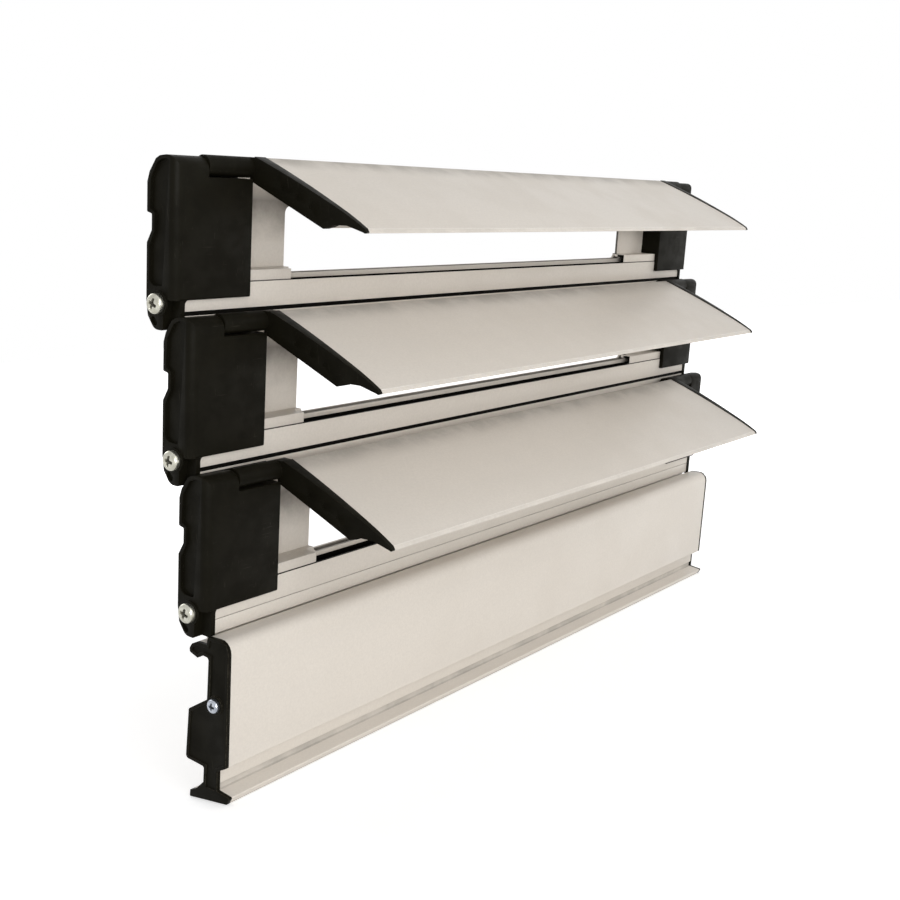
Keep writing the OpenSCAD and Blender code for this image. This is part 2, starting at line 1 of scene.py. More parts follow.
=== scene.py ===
import json
import math
import bmesh
import bpy
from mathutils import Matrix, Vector


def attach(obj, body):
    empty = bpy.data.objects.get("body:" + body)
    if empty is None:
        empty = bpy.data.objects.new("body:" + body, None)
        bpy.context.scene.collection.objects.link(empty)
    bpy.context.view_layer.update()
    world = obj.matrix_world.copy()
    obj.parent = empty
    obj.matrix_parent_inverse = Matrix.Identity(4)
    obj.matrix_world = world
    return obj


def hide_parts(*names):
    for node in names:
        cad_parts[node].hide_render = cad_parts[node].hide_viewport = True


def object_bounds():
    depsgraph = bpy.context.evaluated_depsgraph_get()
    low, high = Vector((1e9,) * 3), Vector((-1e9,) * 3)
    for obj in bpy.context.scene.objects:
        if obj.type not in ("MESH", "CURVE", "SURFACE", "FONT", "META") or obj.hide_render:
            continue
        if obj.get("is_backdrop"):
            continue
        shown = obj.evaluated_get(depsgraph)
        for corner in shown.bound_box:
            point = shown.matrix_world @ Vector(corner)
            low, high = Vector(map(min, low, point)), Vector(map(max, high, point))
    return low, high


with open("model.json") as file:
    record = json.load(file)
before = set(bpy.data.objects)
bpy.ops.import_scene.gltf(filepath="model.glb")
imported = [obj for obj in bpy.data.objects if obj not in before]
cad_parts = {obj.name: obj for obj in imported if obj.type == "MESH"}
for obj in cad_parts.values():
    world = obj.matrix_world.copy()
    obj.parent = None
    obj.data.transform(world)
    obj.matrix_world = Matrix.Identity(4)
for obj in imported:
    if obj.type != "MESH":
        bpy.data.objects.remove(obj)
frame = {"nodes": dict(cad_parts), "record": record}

mm = 0.001
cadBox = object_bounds()
units = ["top", "middle", "bottom"]


# camera, at the photograph's viewing angle
cameraSetup = {
    "place": (-0.54023, -0.37663, -0.05790),
    "turn": (83.126, 4.268, -53.524),  # degrees
    "lens": 51.13, "frameWidth": 36,  # mm
    "nearest": 10 * mm,
}


def addCamera(setup):
    data = bpy.data.cameras.new("photoCamera")
    data.lens = setup["lens"]
    data.sensor_width = setup["frameWidth"]
    data.clip_start = setup["nearest"]
    camera = bpy.data.objects.new("photoCamera", data)
    camera.location = setup["place"]
    camera.rotation_euler = [math.radians(a) for a in setup["turn"]]
    bpy.context.scene.collection.objects.link(camera)
    bpy.context.scene.camera = camera


addCamera(cameraSetup)
print("camera placed")


# small helpers for shader trees
floatSocket, colorSocket = "NodeSocketFloat", "NodeSocketColor"


def newGroup(name, inputs, outputs):
    tree = bpy.data.node_groups.new(name, "ShaderNodeTree")
    for label, kind, value in inputs:
        socket = tree.interface.new_socket(label, in_out="INPUT", socket_type=kind)
        socket.default_value = value
    for label, kind in outputs:
        tree.interface.new_socket(label, in_out="OUTPUT", socket_type=kind)
    return tree, tree.nodes.new("NodeGroupInput"), tree.nodes.new("NodeGroupOutput")


def addNode(tree, kind, inputs=None, **settings):
    node = tree.nodes.new(kind)
    for name, value in settings.items():
        setattr(node, name, value)
    for label, value in (inputs or {}).items():
        node.inputs[label].default_value = value
    return node


def mathNode(tree, operation, a, b):
    node = addNode(tree, "ShaderNodeMath", operation=operation)
    for socket, value in zip(node.inputs, (a, b)):
        if isinstance(value, (int, float)):
            socket.default_value = value
        else:
            tree.links.new(value, socket)
    return node.outputs[0]


def times(tree, a, b):
    return mathNode(tree, "MULTIPLY", a, b)


def remap(tree, value, low, high, toLow=0.0, toHigh=1.0):
    node = addNode(tree, "ShaderNodeMapRange", interpolation_type="SMOOTHSTEP")
    tree.links.new(value, node.inputs["Value"])
    for label, number in (("From Min", low), ("From Max", high), ("To Min", toLow), ("To Max", toHigh)):
        node.inputs[label].default_value = number
    return node.outputs["Result"]


def noiseAt(tree, scale, detail=2.0, roughness=0.5, stretch=None):
    # noise in the object's own coordinates, stretched along x, y and z where asked
    vector = addNode(tree, "ShaderNodeTexCoord").outputs["Object"]
    if stretch:
        mapping = addNode(tree, "ShaderNodeMapping")
        mapping.inputs["Scale"].default_value = stretch
        tree.links.new(vector, mapping.inputs["Vector"])
        vector = mapping.outputs["Vector"]
    node = addNode(tree, "ShaderNodeTexNoise", {"Scale": scale, "Detail": detail, "Roughness": roughness})
    tree.links.new(vector, node.inputs["Vector"])
    return node.outputs["Fac"]


def sizedTexture(tree, kind, size, inputs=None, **settings):
    # a texture whose scale comes from the group's own input
    coords = addNode(tree, "ShaderNodeTexCoord")
    node = addNode(tree, kind, inputs, **settings)
    tree.links.new(coords.outputs["Object"], node.inputs["Vector"])
    tree.links.new(size, node.inputs["Scale"])
    return node


# edge wear and painted highlight: the mesh marks its rounded edges, which are painted lighter, and noise
# breaks the line up
def wearAndHighlightEdgesGroup():
    tree, into, out = newGroup("wearAndHighlightEdges", [("Breakup", floatSocket, 0.5), ("Size", floatSocket, 900.0)],
                               [("Mask", floatSocket)])
    edge = addNode(tree, "ShaderNodeAttribute", attribute_name="wornAndHighlit")
    fine = sizedTexture(tree, "ShaderNodeTexNoise", into.outputs["Size"], {"Detail": 3.0})
    fineGaps = remap(tree, fine.outputs["Fac"], low=0.40, high=0.60)
    broadGaps = remap(tree, noiseAt(tree, scale=60), low=0.45, high=0.62)
    gaps = times(tree, mathNode(tree, "MAXIMUM", fineGaps, broadGaps), into.outputs["Breakup"])
    left = mathNode(tree, "SUBTRACT", 1.0, gaps)
    tree.links.new(times(tree, edge.outputs["Fac"], left), out.inputs["Mask"])
    return tree


# painted shade: places marked on the mesh as lying in shade, darkened in colour, with a cloudy border
def shadedGroup():
    tree, into, out = newGroup("shaded", [("Cloud", floatSocket, 0.3)], [("Mask", floatSocket)])
    marked = addNode(tree, "ShaderNodeAttribute", attribute_name="shade").outputs["Fac"]
    noise = noiseAt(tree, scale=55, detail=4.0, roughness=0.62)
    patches = remap(tree, noise, low=0.35, high=0.65, toLow=1.0, toHigh=0.0)
    cloud = times(tree, patches, into.outputs["Cloud"])
    thinned = times(tree, cloud, mathNode(tree, "SUBTRACT", 1.0, marked))
    mask = times(tree, marked, mathNode(tree, "SUBTRACT", 1.0, thinned))
    tree.links.new(mask, out.inputs["Mask"])
    return tree


# broad soft mottling in the colour of a finish
def mottleGroup():
    tree, into, out = newGroup("mottle", [
        ("Light", colorSocket, (1, 1, 1, 1)), ("Dark", colorSocket, (0.5, 0.5, 0.5, 1)),
        ("Size", floatSocket, 25.0)], [("Color", colorSocket), ("Mask", floatSocket)])
    noise = sizedTexture(tree, "ShaderNodeTexNoise", into.outputs["Size"], {"Detail": 3.0, "Roughness": 0.6})
    mask = remap(tree, noise.outputs["Fac"], low=0.3, high=0.7)
    mix = addNode(tree, "ShaderNodeMix", data_type="RGBA")
    tree.links.new(mask, mix.inputs["Factor"])
    tree.links.new(into.outputs["Light"], mix.inputs["A"])
    tree.links.new(into.outputs["Dark"], mix.inputs["B"])
    tree.links.new(mix.outputs["Result"], out.inputs["Color"])
    tree.links.new(mask, out.inputs["Mask"])
    return tree


# fine grain as a height: powder coat's orange peel, or the texture of a mould
def grainGroup():
    tree, into, out = newGroup("grain", [("Size", floatSocket, 1500.0), ("Cells", floatSocket, 0.3)],
                               [("Height", floatSocket)])
    coarse = sizedTexture(tree, "ShaderNodeTexNoise", into.outputs["Size"], {"Detail": 2.0})
    cells = sizedTexture(tree, "ShaderNodeTexVoronoi", into.outputs["Size"], feature="SMOOTH_F1")
    pits = times(tree, cells.outputs["Distance"], into.outputs["Cells"])
    tree.links.new(mathNode(tree, "ADD", coarse.outputs["Fac"], pits), out.inputs["Height"])
    return tree


# faint lines along the slats, left by drawing the profile through its die
def drawnLinesGroup():
    tree, into, out = newGroup("drawnLines", [("Strength", floatSocket, 1.0)],
                               [("Height", floatSocket), ("Mask", floatSocket)])
    fine = noiseAt(tree, scale=1.0, detail=3.0, stretch=(3.0, 1400.0, 1400.0))
    broad = noiseAt(tree, scale=1.0, stretch=(1.2, 260.0, 260.0))
    both = mathNode(tree, "ADD", fine, broad)
    tree.links.new(times(tree, both, into.outputs["Strength"]), out.inputs["Height"])
    tree.links.new(remap(tree, both, low=0.8, high=1.2), out.inputs["Mask"])
    return tree


# seam dirt and painted shade: darker colour in seams, grooves and inside corners, where they are closed in
def seamDirtAndShadeGroup():
    tree, into, out = newGroup("seamDirtAndShade", [("Reach", floatSocket, 2 * mm), ("Breakup", floatSocket, 0.4)],
                               [("Mask", floatSocket)])
    closed = addNode(tree, "ShaderNodeAmbientOcclusion", samples=8)
    tree.links.new(into.outputs["Reach"], closed.inputs["Distance"])
    deep = remap(tree, closed.outputs["AO"], low=0.25, high=0.75, toLow=1.0, toHigh=0.0)
    noise = remap(tree, noiseAt(tree, scale=160, detail=3.0), low=0.35, high=0.65)
    left = mathNode(tree, "SUBTRACT", 1.0, times(tree, noise, into.outputs["Breakup"]))
    tree.links.new(times(tree, deep, left), out.inputs["Mask"])
    return tree


# short light scratches from handling, running two ways
def scuffsGroup():
    tree, into, out = newGroup("scuffs", [("Share", floatSocket, 0.5)], [("Mask", floatSocket)])
    along = remap(tree, noiseAt(tree, scale=1.0, stretch=(1900.0, 1500.0, 60.0)), low=0.66, high=0.74)
    across = remap(tree, noiseAt(tree, scale=1.0, stretch=(90.0, 1700.0, 2100.0)), low=0.67, high=0.75)
    patches = remap(tree, noiseAt(tree, scale=70), low=0.45, high=0.65)
    marks = times(tree, mathNode(tree, "MAXIMUM", along, across), patches)
    tree.links.new(times(tree, marks, into.outputs["Share"]), out.inputs["Mask"])
    return tree


# dust that settles on what faces up
def settledDustGroup():
    tree, into, out = newGroup("settledDust", [("Share", floatSocket, 0.3)], [("Mask", floatSocket)])
    geometry = addNode(tree, "ShaderNodeNewGeometry")
    parts = addNode(tree, "ShaderNodeSeparateXYZ")
    tree.links.new(geometry.outputs["Normal"], parts.inputs["Vector"])
    up = remap(tree, parts.outputs["Z"], low=0.35, high=0.95)
    noise = noiseAt(tree, scale=45, detail=4.0, roughness=0.65)
    patchy = remap(tree, noise, low=0.3, high=0.7, toLow=0.35)
    tree.links.new(times(tree, times(tree, up, patchy), into.outputs["Share"]), out.inputs["Mask"])
    return tree


wearAndHighlightEdges = wearAndHighlightEdgesGroup()
shaded = shadedGroup()
mottle = mottleGroup()
grain = grainGroup()
drawnLines = drawnLinesGroup()
seamDirtAndShade = seamDirtAndShadeGroup()
scuffs = scuffsGroup()
settledDust = settledDustGroup()


def useGroup(tree, group, **values):
    node = addNode(tree, "ShaderNodeGroup", node_tree=group)
    for label, value in values.items():
        node.inputs[label].default_value = value
    return node


def mixColors(tree, factor, a, b):
    mix = addNode(tree, "ShaderNodeMix", data_type="RGBA")
    tree.links.new(factor, mix.inputs["Factor"])
    for socket, value in ((mix.inputs["A"], a), (mix.inputs["B"], b)):
        if isinstance(value, tuple):
            socket.default_value = value
        else:
            tree.links.new(value, socket)
    return mix.outputs["Result"]


def bumpFrom(tree, height, strength, distance, normal=None):
    bump = addNode(tree, "ShaderNodeBump", {"Strength": strength, "Distance": distance})
    tree.links.new(height, bump.inputs["Height"])
    if normal:
        tree.links.new(normal, bump.inputs["Normal"])
    return bump.outputs["Normal"]


def newMaterial(name):
    material = bpy.data.materials.new(name)
    material.use_nodes = True
    return material, material.node_tree, material.node_tree.nodes["Principled BSDF"]


# warm light grey powder coat on drawn aluminium
powderCoat = {
    "light": (0.640, 0.592, 0.530, 1), "dark": (0.622, 0.574, 0.512, 1), "patchSize": 22.0,
    "speck": (0.560, 0.515, 0.460, 1), "speckSize": 1000.0, "speckShare": 0.5,
    "edge": (0.760, 0.725, 0.675, 1), "edgeShare": 0.7, "edgeBreakup": 0.6,
    "dust": (0.570, 0.540, 0.500, 1), "dustShare": 0.08, "lineShare": 0.08,
    "dirtAndShade": (0.120, 0.112, 0.100, 1), "dirtAndShadeShare": 0.12, "dirtAndShadeBreakup": 0.35, "dirtAndShadeReach": 2.0 * mm,
    "paintedShade": (0.005, 0.0045, 0.0035, 1), "paintedShadeCloud": 0.8, "paintedShadeMask": (0.6, 0.95), "paintedShadeMetal": 0.9,
    "roughness": (0.38, 0.50), "dulled": 0.4, "specular": 0.30,
    "peelSize": 2600.0, "peelCells": 0.35, "peelBump": (0.25, 0.04 * mm),  # bumps: strength and height
    "lineStrength": 1.0, "lineBump": (0.12, 0.03 * mm),
}


def powderCoatMaterial(setup):
    material, tree, shader = newMaterial("powderCoat")
    patches = useGroup(tree, mottle, Light=setup["light"], Dark=setup["dark"], Size=setup["patchSize"])
    specks = useGroup(tree, mottle, Size=setup["speckSize"])
    lines = useGroup(tree, drawnLines, Strength=setup["lineStrength"])
    peel = useGroup(tree, grain, Size=setup["peelSize"], Cells=setup["peelCells"])
    # rounded edges painted lighter: edge wear together with painted highlights
    edgeWearAndHighlight = useGroup(tree, wearAndHighlightEdges, Breakup=setup["edgeBreakup"])
    # darker seams: dirt together with painted shade
    dirtAndShade = useGroup(tree, seamDirtAndShade, Reach=setup["dirtAndShadeReach"], Breakup=setup["dirtAndShadeBreakup"])
    dust = useGroup(tree, settledDust, Share=setup["dustShare"]).outputs["Mask"]
    # painted shade from the mesh's shade marks darkens hollows, grooves, cut edges and strips
    paintedShade = useGroup(tree, shaded, Cloud=setup["paintedShadeCloud"]).outputs["Mask"]
    color = patches.outputs["Color"]
    for mask, paint in (
            (times(tree, specks.outputs["Mask"], setup["speckShare"]), "speck"),
            (times(tree, lines.outputs["Mask"], setup["lineShare"]), "dust"),
            (dust, "dust"),
            (times(tree, edgeWearAndHighlight.outputs["Mask"], setup["edgeShare"]), "edge"),
            (times(tree, dirtAndShade.outputs["Mask"], setup["dirtAndShadeShare"]), "dirtAndShade"),
            (paintedShade, "paintedShade")):
        color = mixColors(tree, mask, color, setup[paint])
    tree.links.new(color, shader.inputs["Base Color"])
    rough = remap(tree, patches.outputs["Mask"], 0, 1, *setup["roughness"])
    dull = mathNode(tree, "MAXIMUM", mathNode(tree, "MAXIMUM", dust, dirtAndShade.outputs["Mask"]), paintedShade)
    dulled = mathNode(tree, "ADD", rough, times(tree, dull, setup["dulled"]))
    tree.links.new(dulled, shader.inputs["Roughness"])
    # the painted shade in the hollows and grooves is made metallic too, so it doesn't shine like the coating
    metal = remap(tree, paintedShade, *setup["paintedShadeMask"], toHigh=setup["paintedShadeMetal"])
    tree.links.new(metal, shader.inputs["Metallic"])
    drawn = bumpFrom(tree, lines.outputs["Height"], *setup["lineBump"])
    tree.links.new(bumpFrom(tree, peel.outputs["Height"], *setup["peelBump"], drawn), shader.inputs["Normal"])
    shader.inputs["Specular IOR Level"].default_value = setup["specular"]
    return material


# black glass-filled plastic with a fine moulded grain
blackPlastic = {
    "light": (0.0070, 0.0062, 0.0036, 1), "dark": (0.0046, 0.0040, 0.0022, 1), "patchSize": 90.0,
    "edge": (0.070, 0.062, 0.045, 1), "edgeShare": 0.55, "edgeBreakup": 0.85,
    "scuff": (0.040, 0.036, 0.027, 1), "scuffShare": 0.5,
    "dust": (0.016, 0.015, 0.011, 1), "dustShare": 0.12,
    "roughness": (0.40, 0.55), "polished": 0.12, "specular": 0.05,
    "grainSize": 3200.0, "grainCells": 0.6, "grainBump": (0.35, 0.05 * mm),
}


def blackPlasticMaterial(setup):
    material, tree, shader = newMaterial("blackPlastic")
    patches = useGroup(tree, mottle, Light=setup["light"], Dark=setup["dark"], Size=setup["patchSize"])
    texture = useGroup(tree, grain, Size=setup["grainSize"], Cells=setup["grainCells"])
    # rounded edges painted lighter: edge wear together with painted highlights
    edgeWearAndHighlight = useGroup(tree, wearAndHighlightEdges, Breakup=setup["edgeBreakup"]).outputs["Mask"]
    marks = useGroup(tree, scuffs, Share=setup["scuffShare"])
    dust = useGroup(tree, settledDust, Share=setup["dustShare"])
    color = mixColors(tree, dust.outputs["Mask"], patches.outputs["Color"], setup["dust"])
    color = mixColors(tree, marks.outputs["Mask"], color, setup["scuff"])
    color = mixColors(tree, times(tree, edgeWearAndHighlight, setup["edgeShare"]), color, setup["edge"])
    tree.links.new(color, shader.inputs["Base Color"])
    rough = remap(tree, patches.outputs["Mask"], 0, 1, *setup["roughness"])
    smoother = times(tree, edgeWearAndHighlight, setup["polished"])
    tree.links.new(mathNode(tree, "SUBTRACT", rough, smoother), shader.inputs["Roughness"])
    tree.links.new(bumpFrom(tree, texture.outputs["Height"], *setup["grainBump"]), shader.inputs["Normal"])
    shader.inputs["Specular IOR Level"].default_value = setup["specular"]
    return material


# zinc plated steel: dull and slightly yellow on the link screws and pins, bluish on the small screws
zincSurface = {
    "patchSize": 420.0, "edgeBreakup": 0.4, "recessCloud": 0.3, "metal": 0.95, "recessDull": 0.6,
    "grainSize": 2400.0, "grainCells": 0.2, "grainBump": (0.2, 0.03 * mm),
}
zincPlate = {
    **zincSurface, "light": (0.560, 0.550, 0.480, 1), "dark": (0.420, 0.410, 0.345, 1),
    "edge": (0.60, 0.57, 0.46, 1), "recess": (0.110, 0.100, 0.080, 1), "roughness": (0.26, 0.40),
}
blueZinc = {
    **zincSurface, "light": (0.480, 0.510, 0.560, 1), "dark": (0.340, 0.365, 0.415, 1),
    "edge": (0.72, 0.76, 0.84, 1), "recess": (0.006, 0.006, 0.008, 1), "roughness": (0.18, 0.30),
}


def zincMaterial(name, setup):
    material, tree, shader = newMaterial(name)
    patches = useGroup(tree, mottle, Light=setup["light"], Dark=setup["dark"], Size=setup["patchSize"])
    texture = useGroup(tree, grain, Size=setup["grainSize"], Cells=setup["grainCells"])
    edgeWearAndHighlight = useGroup(tree, wearAndHighlightEdges, Breakup=setup["edgeBreakup"])
    # painted shade in the screws' cross recesses, darker and less metallic
    recess = useGroup(tree, shaded, Cloud=setup["recessCloud"]).outputs["Mask"]
    color = mixColors(tree, edgeWearAndHighlight.outputs["Mask"], patches.outputs["Color"], setup["edge"])
    color = mixColors(tree, recess, color, setup["recess"])
    tree.links.new(color, shader.inputs["Base Color"])
    rough = remap(tree, patches.outputs["Mask"], 0, 1, *setup["roughness"])
    tree.links.new(rough, shader.inputs["Roughness"])
    metal = mathNode(tree, "SUBTRACT", setup["metal"], times(tree, recess, setup["recessDull"]))
    tree.links.new(metal, shader.inputs["Metallic"])
    tree.links.new(bumpFrom(tree, texture.outputs["Height"], *setup["grainBump"]), shader.inputs["Normal"])
    return material


finishes = {
    "powder_coat": powderCoatMaterial(powderCoat),
    "black_plastic": blackPlasticMaterial(blackPlastic),
    "zinc_plate": zincMaterial("zincPlate", zincPlate),
}
ownFinish = {"closing_screws": zincMaterial("blueZinc", blueZinc)}
print("finishes:", ", ".join(finishes))


# a rigid node's own shape again, with its sharp edges broken by a small real radius
dressing = {
    "powder_coat": {"radius": 0.22 * mm, "segments": 2},
    "black_plastic": {"radius": 0.35 * mm, "segments": 3},
    "zinc_plate": {"radius": 0.12 * mm, "segments": 2},
}
meshRules = {
    "weld": 0.002 * mm, "flat": math.radians(0.5),  # what is joined in the copy of a node's mesh
    "sharp": math.radians(40), "crease": math.radians(32),  # what gets a radius, and what shades as an edge
}


def bodyOf(node):
    groups = frame["record"]["behaviour"]["bodies"]
    return next(body for body, members in groups.items() if node in members)


def addPiece(name, mesh, body, replaced, finish):
    piece = bpy.data.objects.new(name, mesh)
    bpy.context.scene.collection.objects.link(piece)
    mesh.materials.append(finish)
    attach(piece, body)
    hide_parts(*replaced)


def cleanCopy(node):
    shape = bmesh.new()
    shape.from_mesh(frame["nodes"][node].data)
    bmesh.ops.remove_doubles(shape, verts=shape.verts, dist=meshRules["weld"])
    bmesh.ops.dissolve_limit(shape, angle_limit=meshRules["flat"], verts=shape.verts, edges=shape.edges)
    return shape


def bulgesOut(face):
    # true where the faces beside this one fall away from it
    middle = face.calc_center_median()
    beside = [f for edge in face.edges for f in edge.link_faces if f is not face]
    return sum((f.calc_center_median() - middle).dot(face.normal) for f in beside) < 0


def mark(face, layer, value):
    for loop in face.loops:
        loop[layer] = value


def roundEdges(shape, radius, segments):
    sharp = [e for e in shape.edges if len(e.link_faces) == 2 and e.calc_face_angle() > meshRules["sharp"]]
    made = bmesh.ops.bevel(shape, geom=sharp, offset=radius, segments=segments, profile=0.5, affect="EDGES",
                           clamp_overlap=True, loop_slide=True)
    wornAndHighlit = shape.loops.layers.float.new("wornAndHighlit")
    for face in made["faces"]:
        if bulgesOut(face):
            mark(face, wornAndHighlit, 1.0)


def finishMesh(shape, name):
    bmesh.ops.triangulate(shape, faces=[f for f in shape.faces if len(f.verts) > 4])
    for face in shape.faces:
        face.smooth = True
    mesh = bpy.data.meshes.new(name)
    shape.to_mesh(mesh)
    shape.free()
    mesh.set_sharp_from_angle(angle=meshRules["crease"])
    return mesh


# a unit's own frame: depth to the back and height, in mm, from its bottom hinge axis
unitFrame = {"pitch": 60.0, "lean": math.radians(9.594)}
lastUnit = len(units) - 1


def inUnit(point, n):
    c, s = math.cos(unitFrame["lean"]), math.sin(unitFrame["lean"])
    y, z = point.y / mm, point.z / mm + (n + 1) * unitFrame["pitch"]
    return y * c + z * s, z * c - y * s


def smooth(value, low, high):
    t = min(max((value - low) / (high - low), 0.0), 1.0)
    return t * t * (3 - 2 * t)


# painted shade on a carrier: its hollows, grooves, cut edges, the strip behind the next blade and a cloud
# high on the web
carrierZones = {
    "hollow": (-2.45, 7.35, 3.55, 14.45),  # depth from and to, height from and to
    "footHollow": (-2.05, 7.35, 14.45, 17.85),
    "barFace": (2.8, 3.2), "barFacing": 0.5, "behindBar": 3.3, "behindShade": 0.7,
    # the strip behind the next blade is painted black where shade falls
    "frontFace": -3.55, "strip": (2.55, 3.86),
    "lowGroove": (-3.72, -3.2, 3.84, 4.26), "lowGrooveShade": (1.0, 1.0, 0.4),  # top to bottom unit
    "topGroove": (-3.35, -2.85, 14.5, 14.95), "topGrooveShade": 0.85,
    "web": (5.8, 7.3), "webFoot": 19.0, "cutEdgeShade": 0.85, "webFacing": 0.9,
    # painted shade high on the web, under the blade above
    "cloud": 0.70, "cloudHeights": (26.0, 47.0),
    "cuts": (2.55, 14.5, 24, 29, 34, 39, 44),  # heights where the mesh is divided for the shades
}


def within(u, w, zone):
    return zone[0] < u < zone[1] and zone[2] < w < zone[3]


def carrierShade(u, w, normal, n):
    zones = carrierZones
    onBar = zones["barFace"][0] < u < zones["barFace"][1] and normal.y < -zones["barFacing"]
    if within(u, w, zones["hollow"]):
        return 1.0
    if within(u, w, zones["footHollow"]) and not onBar:
        return zones["behindShade"] if u > zones["behindBar"] else 1.0
    if n < lastUnit and u < zones["frontFace"] and zones["strip"][0] < w < zones["strip"][1]:
        return 1.0
    if within(u, w, zones["lowGroove"]):
        return zones["lowGrooveShade"][n]
    if within(u, w, zones["topGroove"]):
        return zones["topGrooveShade"]
    if zones["web"][0] < u < zones["web"][1] and w > zones["webFoot"]:
        if abs(normal.x) > zones["webFacing"]:
            return zones["cutEdgeShade"]
        if normal.y < -zones["webFacing"]:
            return zones["cloud"] * smooth(w, *zones["cloudHeights"])
    return 0.0


def cutAcross(shape, point, normal):
    everything = shape.verts[:] + shape.edges[:] + shape.faces[:]
    bmesh.ops.bisect_plane(shape, geom=everything, plane_co=point, plane_no=normal)


def dressedCarrier(node, n):
    shape = cleanCopy(node)
    roundEdges(shape, **dressing["powder_coat"])
    base = Vector((0, 0, -(n + 1) * unitFrame["pitch"] * mm))
    up = Vector((0, -math.sin(unitFrame["lean"]), math.cos(unitFrame["lean"])))
    for height in carrierZones["cuts"]:
        cutAcross(shape, base + up * height * mm, up)
    shade = shape.loops.layers.float.new("shade")
    shape.normal_update()
    for face in shape.faces:
        middle = inUnit(face.calc_center_median(), n)
        inWeb = carrierZones["web"][0] < middle[0] < carrierZones["web"][1]
        onWebFront = inWeb and face.normal.y < -carrierZones["webFacing"]
        for loop in face.loops:
            u, w = inUnit(loop.vert.co, n) if onWebFront else middle
            loop[shade] = carrierShade(u, w, face.normal, n)
    return finishMesh(shape, node + "_dressed")


# painted shade: the closing slat's cove and the edge over it are greyer than the rest
coveZone = {"place": (-12.5, -11.0, -64.6, -61.2), "shade": 0.34}  # place in the bottom unit's frame


def dressedClosing(node):
    shape = cleanCopy(node)
    roundEdges(shape, **dressing["powder_coat"])
    shade = shape.loops.layers.float.new("shade")
    for face in shape.faces:
        u, w = inUnit(face.calc_center_median(), lastUnit)
        mark(face, shade, coveZone["shade"] if within(u, w, coveZone["place"]) else 0.0)
    return finishMesh(shape, node + "_dressed")


# a blade's nose is thinner than its lip behind it and ends in a short sloping front face,
# and its caps draw in towards it
noseShape = {
    "from": 52 * mm, "thin": 0.55,  # from here on its depth shrinks, by this share at the tip
    "drawIn": 1.3 * mm,
    "edge": 2.6 * mm, "soft": 0.3 * mm,  # the front face starts this far from the tip
    "frontRun": 1.45 * mm, "frontDrop": 0.62 * mm, "lip": 1.4 * mm,
    # painted shade on the nose's front face
    "shade": 0.14, "facing": 0.7,  # of faces that look this much to the front
}
# painted shade along the blade's top, cloudy, fading from the back edge
backCloud = {"shade": 0.38, "facing": 0.5, "reach": 13.0, "cuts": (1.5, 4, 7, 10, 13)}  # mm from the back


def bladeLine(unit):
    # back edge, and length and direction from there to the nose, by the highest and foremost points
    points = [v.co for v in frame["nodes"]["blade_" + unit].data.vertices]
    back = max(points, key=lambda p: p.z)
    nose = min(points, key=lambda p: p.y)
    along = Vector((0, nose.y - back.y, nose.z - back.z))
    return back, along.length, along.normalized()


def shapeNose(shape, unit, drawIn):
    back, chord, along = bladeLine(unit)
    topNormal = Vector((0, along.z, -along.y))
    edge = chord - noseShape["edge"]
    for cut in (edge - noseShape["soft"], edge, edge + noseShape["soft"]):
        cutAcross(shape, back + along * cut, along)
    for vert in shape.verts:
        offset = vert.co - back
        run, drop = offset.dot(along), -offset.dot(topNormal)
        newRun, newDrop = run, drop
        if run > noseShape["from"]:
            newDrop = drop * (1 - noseShape["thin"] * smooth(run, noseShape["from"], chord))
        if run > edge:
            share = (run - edge) / (chord - edge)
            newRun = edge + share * noseShape["frontRun"]
            newDrop += share * noseShape["frontDrop"] * (1 - min(max(newDrop / noseShape["lip"], 0), 1))
        vert.co += along * (newRun - run) - topNormal * (newDrop - drop)
        if run > 0 and drawIn:
            vert.co.x -= math.copysign(drawIn * run / chord, vert.co.x)


def highlightNose(shape, unit):
    # painted highlight along the nose's upper edge, through the edge mark
    back, chord, along = bladeLine(unit)
    edge = chord - noseShape["edge"]
    wornAndHighlit = shape.loops.layers.float["wornAndHighlit"]
    for face in shape.faces:
        run = (face.calc_center_median() - back).dot(along)
        if abs(run - edge) < noseShape["soft"] and face.normal.z > 0:
            mark(face, wornAndHighlit, 1.0)


def shadeBlade(shape, unit):
    # painted shade: the top face is greyer along its back edge, and the nose's front face a little
    back, chord, along = bladeLine(unit)
    for cut in backCloud["cuts"]:
        cutAcross(shape, back + along * cut * mm, along)
    shade = shape.loops.layers.float.new("shade")
    shape.normal_update()
    for face in shape.faces:
        onTop = face.normal.z > backCloud["facing"]
        for loop in face.loops:
            run = (loop.vert.co - back).dot(along) / mm
            loop[shade] = backCloud["shade"] * (1 - smooth(run, 0, backCloud["reach"])) if onTop else 0.0
        run = (face.calc_center_median() - back).dot(along)
        if face.normal.y < -noseShape["facing"] and run > chord - noseShape["edge"]:
            mark(face, shade, noseShape["shade"])


def dressedBlade(node, unit):
    shape = cleanCopy(node)
    shapeNose(shape, unit, drawIn=0)
    roundEdges(shape, **dressing["powder_coat"])
    shadeBlade(shape, unit)
    highlightNose(shape, unit)
    return finishMesh(shape, node + "_dressed")


def dressedCap(node, unit):
    shape = cleanCopy(node)
    shapeNose(shape, unit, noseShape["drawIn"])
    roundEdges(shape, **dressing["black_plastic"])
    return finishMesh(shape, node + "_dressed")


# pan heads with a pressed cross recess, turned to a different angle on each screw
screwHead = {
    "rings": 44, "segments": 96,
    "flat": 0.60, "dome": 0.06, "shoulder": 0.42,  # shares of the head's radius and height
    "rim": ((1.0, 0.2), (0.985, 0.0)),
    "wing": 0.60, "wingWidth": 0.125, "wingEnd": 0.22, "heart": 0.17, "heartReach": 0.36,
    "wallIn": 0.045, "wallOut": 0.03, "deep": 0.72,
    "rimFrom": 0.95, "shankFrom": 0.5 * mm,  # share of the radius, and distance under the head
    "turns": {"top": (31, 8), "middle": (20, 63), "bottom": (24, 40), "closing": (12, 75)},  # degrees
}


